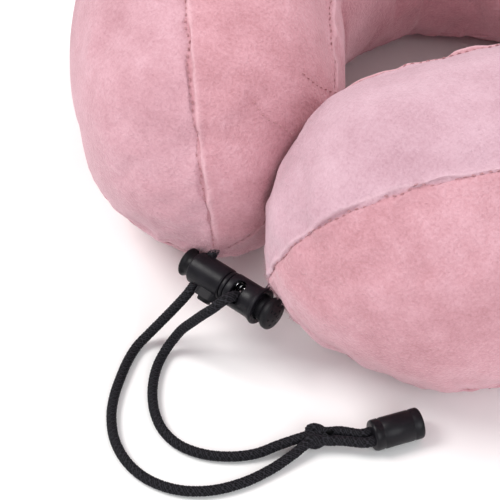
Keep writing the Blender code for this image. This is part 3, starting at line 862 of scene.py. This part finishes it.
class Loft:
    """The pillow's outside, as arrays over stations and angles."""

    def __init__(self):
        back = SPINE[-2]
        fine = catmull(SPINE + [(-back[0], *back[1:])], 1.0) * MM
        run = run_along(fine[:, :3])
        past = np.where(fine[:, 0] <= 0)[0][0]
        share = fine[past - 1, 0] / (fine[past - 1, 0] - fine[past, 0])
        self.fine, self.run = fine, run
        self.length = run[past - 1] + share * (run[past] - run[past - 1])

    def spine(self, distance):
        return np.stack([np.interp(distance, self.run, self.fine[:, k]) for k in range(5)],
                        axis=-1)

    def points(self, distance, swell, angle):
        """Points at matching arrays of distance from the tip, dome share and angle."""
        here = self.spine(distance)
        ahead = self.spine(np.minimum(distance + 0.004, self.length + 0.004))[..., :3]
        behind = self.spine(np.maximum(distance - 0.004, 0.0))[..., :3]
        along = ahead - behind
        along /= np.linalg.norm(along, axis=-1)[..., None]
        side = np.cross(along, (0.0, 0.0, 1.0))
        side /= np.linalg.norm(side, axis=-1)[..., None]
        up = np.cross(side, along)
        power = 2 / ROUNDNESS
        c, s = np.cos(angle), np.sin(angle)
        out = np.sign(c) * np.abs(c) ** power * here[..., 3] * swell
        rise = np.sign(s) * np.abs(s) ** power * here[..., 4] * swell
        point = here[..., :3] + side * out[..., None] + up * rise[..., None]
        near = distance < FRONT
        point[..., 0] = np.where(near, np.maximum(point[..., 0], 0.0004), point[..., 0])
        middle = distance > self.length - 1e-6
        point[..., 0] = np.where(middle, 0.0, point[..., 0])
        point[..., 2] = np.maximum(point[..., 2], 0.0)
        return point

    def stations(self):
        half = []
        for k in range(DOME_COUNT):
            turn = TIP_RING + (pi / 2 - TIP_RING) * k / DOME_COUNT
            half.append((DOME * (1 - cos(turn)), sin(turn)))
        for k in range(ARM_COUNT):
            half.append((DOME + (self.length - DOME) * k / ARM_COUNT, 1.0))
        rows = [(1, *ring) for ring in half] + [(1, self.length, 1.0)]
        rows += [(-1, *ring) for ring in reversed(half)]
        return np.array(rows, float)

    def on(self, side, distance, swell, degrees):
        """Points on the outside at an angle measured with the seams, which roll on the left."""
        side, distance, swell = (np.asarray(v, float) for v in (side, distance, swell))
        angle = np.radians(degrees) + np.where(
            side < 0, radians(TWIST) * np.minimum(1.0, (self.length - distance) / 0.12), 0.0)
        point = self.points(distance, swell, angle)
        point[..., 0] *= np.where(side < 0, -1.0, 1.0)
        return point


def seam_gap(degrees):
    """The signed way round the section to the nearest seam, in degrees."""
    gaps = np.array([(degrees - seam + 180) % 360 - 180 for seam in SEAMS])
    best = np.argmin(np.abs(gaps), axis=0)
    return np.take_along_axis(gaps, best[None], axis=0)[0]


def cover_angles():
    """Angles round the section: one on each seam, close ones beside it, even ones between."""
    angles = []
    for low, high in zip(SEAMS, list(SEAMS[1:]) + [SEAMS[0] + 360]):
        inner, outer = low + SEAM_COLUMNS[-1], high - SEAM_COLUMNS[-1]
        count = int(round((outer - inner) / COLUMN_STEP))
        angles += [low] + [low + a for a in SEAM_COLUMNS]
        angles += [inner + (outer - inner) * k / count for k in range(1, count)]
        angles += [high - a for a in reversed(SEAM_COLUMNS)]
    return np.array(angles)


def puff(obj, pinned):
    """Inflates the cover with Cloth, held at its seams, and caps how far it moves."""
    before = np.empty(len(obj.data.vertices) * 3)
    obj.data.vertices.foreach_get("co", before)
    before = before.reshape(-1, 3)
    group = obj.vertex_groups.new(name="held")
    group.add([int(k) for k in pinned], 1.0, "REPLACE")
    cloth = obj.modifiers.new("puff", "CLOTH")
    for setting, value in PUFF.items():
        setattr(cloth.settings, setting, value)
    cloth.settings.effector_weights.gravity = 0.0
    cloth.collision_settings.use_collision = False
    scene = bpy.context.scene
    for step in range(1, PUFF_FRAMES + 1):
        scene.frame_set(step)
    graph = bpy.context.evaluated_depsgraph_get()
    after = np.empty_like(before).reshape(-1)
    result = obj.evaluated_get(graph).to_mesh()
    result.vertices.foreach_get("co", after)
    after = after.reshape(-1, 3)
    obj.modifiers.clear()
    obj.vertex_groups.clear()
    scene.frame_set(1)
    moved = after - before
    size = np.linalg.norm(moved, axis=1)
    share = SWELL_CAP * np.tanh(size / SWELL_CAP) / np.maximum(size, 1e-9)
    return before + moved * share[:, None]


def smooth_noise(points, scale, seed):
    """Low, seeded waves: a sum of sines in fixed random directions."""
    rng = np.random.default_rng(seed)
    total = np.zeros(len(points))
    for _ in range(14):
        direction = rng.normal(size=3)
        direction /= np.linalg.norm(direction)
        wave = scale * rng.uniform(0.6, 1.7)
        total += np.sin(points @ direction * wave + rng.uniform(0, tau))
    return total / sqrt(14)


def crease_line(loft, points):
    """A fine line of surface points on the left arm through (distance, degrees) points."""
    fine = catmull([(d * 1000, a) for d, a in points], 1.0)
    distance = fine[:, 0] / 1000
    swell = np.sqrt(np.clip(1 - (1 - np.minimum(distance, DOME) / DOME) ** 2, 0, 1))
    return loft.on(np.full(len(fine), -1.0), distance, swell, fine[:, 1])


def step_down(away, edge):
    """1 inside the edge, falling to 0 over the lip outside it."""
    return np.clip((edge + POCKET_LIP - away) / POCKET_LIP, 0.0, 1.0)


def seam_relief(verts, reach, signed, along):
    """How far the cover rises or dips at its seams, and in its creases, lumps and dents."""
    groove = -0.0008 * np.exp(-(reach / 0.0010) ** 2)
    ridge = (0.00055 * np.exp(-((signed - 0.0019) / 0.0010) ** 2)
             + 0.00030 * np.exp(-((signed + 0.0026) / 0.0014) ** 2))
    pucker = (0.00055 * np.sin(tau * along / 0.0075 + 1.3 * np.sin(along * 210))
              * np.exp(-(reach / 0.0075) ** 2))
    creases = 0.00045 * smooth_noise(verts, 190, 3) * np.exp(-(reach / 0.022) ** 2)
    lumps = 0.0010 * smooth_noise(verts, 55, 5)
    dents = -0.0005 * np.clip(smooth_noise(verts, 120, 9) - 0.6, 0.0, 2.0)
    return groove + ridge + pucker + creases + lumps + dents


def gather_tips(verts):
    """Draws the cover towards each cord, where it leaves its tip."""
    for mouth, target in SNOUTS:
        away = np.linalg.norm(verts - from_lock(mouth), axis=1)
        pull = SNOUT_PULL * np.exp(-(away / SNOUT_REACH) ** 2)
        verts += (from_lock(target) - verts) * pull[:, None]


def press_pocket(verts):
    """Presses the zip's pocket into the underside, and keeps the rest above the floor."""
    pocket = POCKET_DEPTH * (step_down(np.abs(verts[:, 0]), POCKET_HALF_LENGTH)
                             * step_down(np.abs(verts[:, 1] - ZIP_Y), POCKET_HALF_WIDTH))
    low = verts[:, 2] < POCKET_DEPTH
    verts[low, 2] = np.maximum(verts[low, 2], pocket[low])
    verts[:, 2] = np.maximum(verts[:, 2], 0.0)


def make_cover(loft):
    rows = loft.stations()
    angles = cover_angles()
    side, distance, swell = (rows[:, k][:, None] * np.ones(len(angles)) for k in range(3))
    degrees = np.ones(len(rows))[:, None] * angles
    grid = loft.on(side, distance, swell, degrees)
    count = len(angles)
    verts = grid.reshape(-1, 3)
    faces = []
    for k in range(len(rows) - 1):
        for j in range(count):
            a, b = k * count + j, k * count + (j + 1) % count
            faces.append((a, a + count, b + count, b))
    faces.append(tuple(range(count)))
    faces.append(tuple(reversed([(len(rows) - 1) * count + j for j in range(count)])))
    cover = from_arrays("velour_cover", verts, faces, VELOUR)

    rest = verts.copy()
    rest_normal = grid_normals(grid).reshape(-1, 3)
    gap = seam_gap(degrees)
    radius = SECTION_RADIUS * swell
    reach = np.abs(np.radians(gap)) * radius                 # metres from the nearest seam
    held = np.where((reach < 0.0004).reshape(-1))[0]
    floor_held = np.where(verts[:, 2] < 0.0002)[0]
    ends = np.concatenate([np.arange(count * 2), np.arange(count * 2) + (len(rows) - 2) * count])
    verts = puff(cover, np.unique(np.concatenate([held, floor_held, ends])))

    normal = grid_normals(verts.reshape(len(rows), count, 3)).reshape(-1, 3)
    reach = reach.reshape(-1)
    flat_swell = swell.reshape(-1)
    along = (np.where(side > 0, distance, 2 * loft.length - distance)).reshape(-1)
    fade = np.clip((flat_swell - 0.10) / 0.25, 0.0, 1.0)
    signed = np.radians(gap).reshape(-1) * SECTION_RADIUS * flat_swell
    shift = fade * seam_relief(verts, reach, signed, along)
    crease = np.zeros(len(verts))
    for points in CREASES:
        line = crease_line(loft, points)
        away = np.min(np.linalg.norm(rest[:, None] - line[None], axis=2), axis=1)
        crease = np.maximum(crease, np.exp(-(away / 0.0013) ** 2))
        shift = (shift - 0.0010 * np.exp(-(away / 0.0016) ** 2)
                 + 0.0005 * np.exp(-((away - 0.0042) / 0.0022) ** 2))
    verts = verts + normal * shift[:, None]
    inward = np.einsum("ij,ij->i", verts - rest, rest_normal)
    verts -= rest_normal * np.minimum(0.0, inward + SINK_CAP)[:, None]
    gather_tips(verts)
    press_pocket(verts)
    side_sign = np.where(side > 0, 1.0, -1.0).reshape(-1)
    pressed = (distance < FRONT).reshape(-1) & (verts[:, 0] * side_sign < PRESSED_GAP)
    verts[pressed, 0] = PRESSED_GAP * side_sign[pressed]
    cover.data.vertices.foreach_set("co", verts.reshape(-1))
    cover.data.update()

    # Painted sheen: the panel attribute lightens the right arm's top panel fully and the left
    # arm's outer panel partly, fading out towards the middle of the pillow.
    turned = (degrees.reshape(-1) - SEAM_OUTER) % 360
    on_top = turned < SEAM_NECK - SEAM_OUTER
    on_outer = turned >= SEAM_OUTER_BASE - SEAM_OUTER
    near_tip = np.clip((loft.length - distance.reshape(-1)) / 0.20, 0.0, 1.0)
    panel = np.where(side_sign > 0, on_top * 0.95, on_outer * 0.35) * near_tip
    mark(cover, "panel", panel)
    # seam: the painted shade's mask, in the seam grooves and along the darts.
    mark(cover, "seam", np.maximum(np.exp(-(reach / 0.0011) ** 2) * fade, crease * 0.5))
    # ridge: where the painted highlight lies, on the raised ridge just off each seam.
    mark(cover, "ridge", np.exp(-((signed - 0.0016) / 0.0008) ** 2) * fade)
    level = cover.modifiers.new("smooth", "SUBSURF")
    level.levels = level.render_levels = 1
    evaluated(cover)
    cover.data.shade_smooth()
    settle(cover, "pillow", "velour", "cover_outer_panel", "cover_top_panel",
           "cover_neck_panel", "cover_base_panel")
    return verts.reshape(len(rows), count, 3), angles


def grid_normals(grid):
    along = np.gradient(grid, axis=0)
    around = np.roll(grid, -1, axis=1) - np.roll(grid, 1, axis=1)
    normal = np.cross(along, around)
    normal /= np.maximum(np.linalg.norm(normal, axis=-1), 1e-12)[..., None]
    return normal


def stitch_lines(loft, grid, angles):
    """The lines that are stitched, beside the seams and along the darts, with their normals."""
    normals = grid_normals(grid)
    lines = []
    for seam in SEAMS[:2] + SEAMS[3:]:
        column = int(np.argmin(np.abs(angles - seam)))
        beside = (column - 1) % len(angles)
        lines.append((grid[:, column] * 0.35 + grid[:, beside] * 0.65, normals[:, beside]))
    flat, flat_normals = grid.reshape(-1, 3), normals.reshape(-1, 3)
    for points in CREASES:
        line = crease_line(loft, points)
        nearest = [int(np.argmin(np.linalg.norm(flat - p, axis=1))) for p in line]
        out = flat_normals[nearest]
        drop = np.einsum("ij,ij->i", flat[nearest] - line, out)
        lines.append((line + out * drop[:, None], out))
    return lines


def make_stitches(loft, grid, angles):
    """Runs of short threads, each dipping into the pile at its ends."""
    verts, faces = [], []
    for line, out in stitch_lines(loft, grid, angles):
        run = run_along(line)
        for at in np.arange(STITCH_SPACING, run[-1] - STITCH_SPACING, STITCH_SPACING):
            place = np.array([np.interp(at, run, line[:, k]) for k in range(3)])
            ahead = np.array([np.interp(at + 0.001, run, line[:, k]) for k in range(3)])
            up = np.array([np.interp(at, run, out[:, k]) for k in range(3)])
            along = (ahead - place) / np.linalg.norm(ahead - place)
            across = np.cross(up, along)
            across /= np.linalg.norm(across)
            faces += tube_faces(len(STITCH_RINGS), STITCH_SIDES, len(verts))
            for step, thick, lift in STITCH_RINGS:
                middle = (place + along * step * STITCH_LENGTH / 2
                          + up * (lift * STITCH_RADIUS + STITCH_LIFT))
                for j in range(STITCH_SIDES):
                    turn = tau * j / STITCH_SIDES
                    verts.append(middle + (across * cos(turn) + up * sin(turn))
                                 * STITCH_RADIUS * thick)
    verts = np.array(verts)
    verts[:, 2] = np.maximum(verts[:, 2], 0.0001)
    settle(from_arrays("seam_stitches", verts, faces, THREAD), "pillow", "velour")


def make_fuzz(grid):
    """Short loose fibres of the pile where the cover is gathered at each tip."""
    normals = grid_normals(grid)
    verts, faces = [], []
    flat, out = grid.reshape(-1, 3), normals.reshape(-1, 3)
    for mouth, _ in SNOUTS:
        away = np.linalg.norm(flat - from_lock(mouth), axis=1)
        near = np.where(away < FUZZ_REACH)[0]
        share = np.exp(-(away[near] / FUZZ_THINNING) ** 2)
        picks = RNG.choice(near, size=FUZZ_COUNT, p=share / share.sum())
        for k in picks:
            root = flat[k] + RNG.normal(size=3) * 0.0011
            root -= out[k] * max(0.0, (root - flat[k]) @ out[k] + 0.0001)
            lean = out[k] + RNG.normal(size=3) * 0.45
            lean /= np.linalg.norm(lean)
            across = np.cross(lean, RNG.normal(size=3))
            across *= 0.000045 / np.linalg.norm(across)
            tip = root + lean * FUZZ_LENGTH * RNG.uniform(0.5, 1.1)
            middle = (root + tip) / 2 + RNG.normal(size=3) * 0.00012
            base = len(verts)
            verts += [root - across, root + across, middle - across * 0.7, middle + across * 0.7,
                      tip]
            faces += [(base, base + 1, base + 3, base + 2), (base + 2, base + 3, base + 4)]
    verts = np.array(verts)
    verts[:, 2] = np.maximum(verts[:, 2], 0.0001)
    settle(from_arrays("pile_fuzz", verts, faces, PILE), "pillow", "velour")


# ================================================================ assembly

def dress_inner_parts():
    """Gives the CAD pieces that stay as they are their materials."""
    looks = {FOAM: ["foam_core"], COTTON: ["inner_liner"],
             CORD: ["anchor_knot_left", "anchor_knot_right"],
             TAPE: ["zip_tape_front", "zip_tape_back"],
             ZIP_NYLON: ["zip_teeth_front", "zip_teeth_back"],
             ZIP_METAL: ["zip_stop_left", "zip_stop_right", "zip_slider", "zip_pull"]}
    for mat, nodes in looks.items():
        for node in nodes:
            NODES[node].data.materials.clear()
            NODES[node].data.materials.append(mat)


make_camera()
make_studio()
cords = make_cords()
make_lock()
make_knot()
make_barrel()
pillow = Loft()
cover_grid, cover_columns = make_cover(pillow)
make_stitches(pillow, cover_grid, cover_columns)
make_fuzz(cover_grid)
dress_inner_parts()
